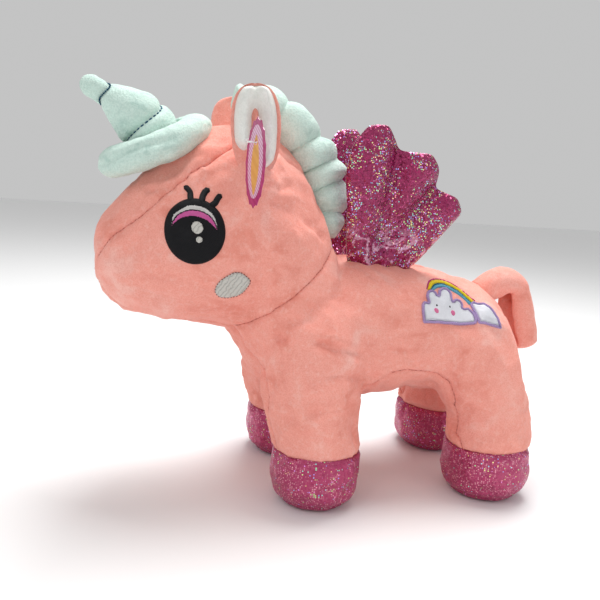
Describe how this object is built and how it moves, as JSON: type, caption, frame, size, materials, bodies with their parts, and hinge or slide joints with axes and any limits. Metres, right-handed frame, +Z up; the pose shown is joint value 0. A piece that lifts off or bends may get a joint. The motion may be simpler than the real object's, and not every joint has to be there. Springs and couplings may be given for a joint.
{
  "type": "plush unicorn",
  "caption": "Stuffed velvet unicorn standing on glitter hooves, with a horn in a rolled brim, frilled mane, lined ears, foil wings, curled tail and embroidered eyes.",
  "frame": {"origin": "on the ground under the toy, at the middle of its length and width", "axes": "-Y is the way the unicorn faces, +X is its left side, +Z is up"},
  "size_m": [0.1427, 0.3141, 0.2442],
  "materials": {
    "velvet": "short crushed velvet pile",
    "fibre": "loose polyester fibre",
    "glitter_knit": "knit with glitter",
    "wing_foil_cloth": "holographic foil on knit",
    "mint_plush": "short plush",
    "white_plush": "short plush",
    "blue_thread": "sewing thread",
    "black_thread": "satin stitch",
    "pink_thread": "satin stitch",
    "white_thread": "satin stitch",
    "grey_thread": "satin stitch",
    "rainbow_thread": "satin stitch",
    "card": "printed card",
    "clear_plastic": "moulded filament"
  },
  "bodies": {
    "body": {"left_head_panel": "velvet", "right_head_panel": "velvet", "left_body_panel": "velvet", "right_body_panel": "velvet", "forehead_gusset": "velvet", "belly_gusset": "velvet", "head_stuffing": "fibre", "body_stuffing": "fibre", "front_left_leg_stuffing": "fibre", "front_right_leg_stuffing": "fibre", "rear_left_leg_stuffing": "fibre", "rear_right_leg_stuffing": "fibre", "front_left_hoof": "glitter_knit", "front_right_hoof": "glitter_knit", "rear_left_hoof": "glitter_knit", "rear_right_hoof": "glitter_knit", "front_left_sole": "glitter_knit", "front_right_sole": "glitter_knit", "rear_left_sole": "glitter_knit", "rear_right_sole": "glitter_knit", "horn_brim_cover": "mint_plush", "horn_brim_stuffing": "fibre", "mane": "mint_plush", "left_eye_black": "black_thread", "left_eye_pink": "pink_thread", "left_eye_white": "white_thread", "right_eye_black": "black_thread", "right_eye_pink": "pink_thread", "right_eye_white": "white_thread", "left_cheek_patch": "grey_thread", "right_cheek_patch": "grey_thread", "left_cloud_patch": "white_thread", "left_rainbow_patch": "rainbow_thread", "right_cloud_patch": "white_thread", "right_rainbow_patch": "rainbow_thread"},
    "horn": {"horn_cover": "mint_plush", "horn_stuffing": "fibre", "horn_spiral_thread": "blue_thread"},
    "left_ear": {"left_ear_outer": "velvet", "left_ear_lining": "white_plush", "tag_fastener": "clear_plastic"},
    "right_ear": {"right_ear_outer": "velvet", "right_ear_lining": "white_plush"},
    "left_wing": {"left_wing_outer_face": "wing_foil_cloth", "left_wing_inner_face": "wing_foil_cloth", "left_wing_wadding": "fibre"},
    "right_wing": {"right_wing_outer_face": "wing_foil_cloth", "right_wing_inner_face": "wing_foil_cloth", "right_wing_wadding": "fibre"},
    "tail": {"tail_cover": "velvet", "tail_stuffing": "fibre"},
    "swing_tag": {"tag_card": "card"}
  },
  "joints": [
    {"name": "horn_tilt", "type": "hinge", "parent": "body", "child": "horn", "pos_m": [0, -0.11557, 0.21014], "axis": [1, 0, 0], "range_deg": [-8, 8], "stiffness_Nm_per_rad": 0.1},
    {"name": "left_ear_flop", "type": "hinge", "parent": "body", "child": "left_ear", "pos_m": [0.04, -0.06184, 0.189], "axis": [0, 1, 0], "range_deg": [-10, 30], "stiffness_Nm_per_rad": 0.05},
    {"name": "right_ear_flop", "type": "hinge", "parent": "body", "child": "right_ear", "pos_m": [-0.04, -0.06184, 0.189], "axis": [0, -1, 0], "range_deg": [-10, 30], "stiffness_Nm_per_rad": 0.05},
    {"name": "left_wing_flap", "type": "hinge", "parent": "body", "child": "left_wing", "pos_m": [0.014, 0.00516, 0.142], "axis": [0, 1, 0], "range_deg": [-5, 50], "stiffness_Nm_per_rad": 0.1},
    {"name": "right_wing_flap", "type": "hinge", "parent": "body", "child": "right_wing", "pos_m": [-0.014, 0.00516, 0.142], "axis": [0, -1, 0], "range_deg": [-5, 50], "stiffness_Nm_per_rad": 0.1},
    {"name": "tail_lift", "type": "hinge", "parent": "body", "child": "tail", "pos_m": [0, 0.11516, 0.129], "axis": [1, 0, 0], "range_deg": [-5, 40], "stiffness_Nm_per_rad": 0.15},
    {"name": "tag_swing", "type": "hinge", "parent": "left_ear", "child": "swing_tag", "pos_m": [0.0615, -0.06584, 0.21], "axis": [0.2504, -0.9681, 0], "range_deg": [-3, 40]}
  ]
}
